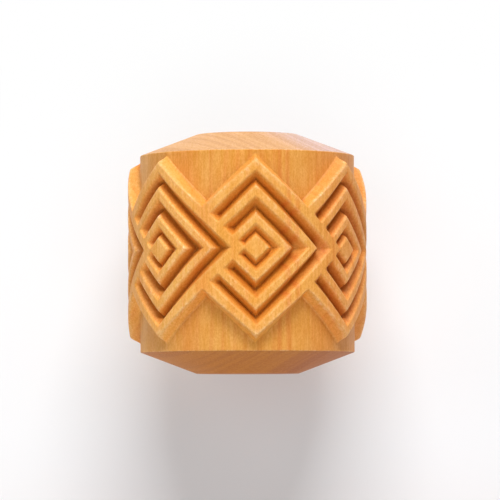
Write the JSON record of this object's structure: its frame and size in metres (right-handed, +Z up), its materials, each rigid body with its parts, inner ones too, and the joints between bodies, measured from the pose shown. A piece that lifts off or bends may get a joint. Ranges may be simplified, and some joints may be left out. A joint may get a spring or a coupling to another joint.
{
  "type": "clay texture roller",
  "caption": "Short solid wooden roller with long end chamfers and a deeply carved frieze of nested, overlapping diamonds, rolled under the palm to print a border into clay.",
  "frame": {"origin": "centre of the roller, on its axis and midway between its two end faces", "axes": "+Y along the roller's axis, +Z up, away from the surface that the roller lies on, +X to the right of both"},
  "size_m": [0.064, 0.064, 0.064],
  "materials": {
    "oiled_hardwood": "pale, close-grained hardwood, finely sanded and lightly oiled, with a soft satin sheen, darker in the carved grooves"
  },
  "bodies": {
    "root": {"carved_roller": "oiled_hardwood"}
  },
  "joints": []
}
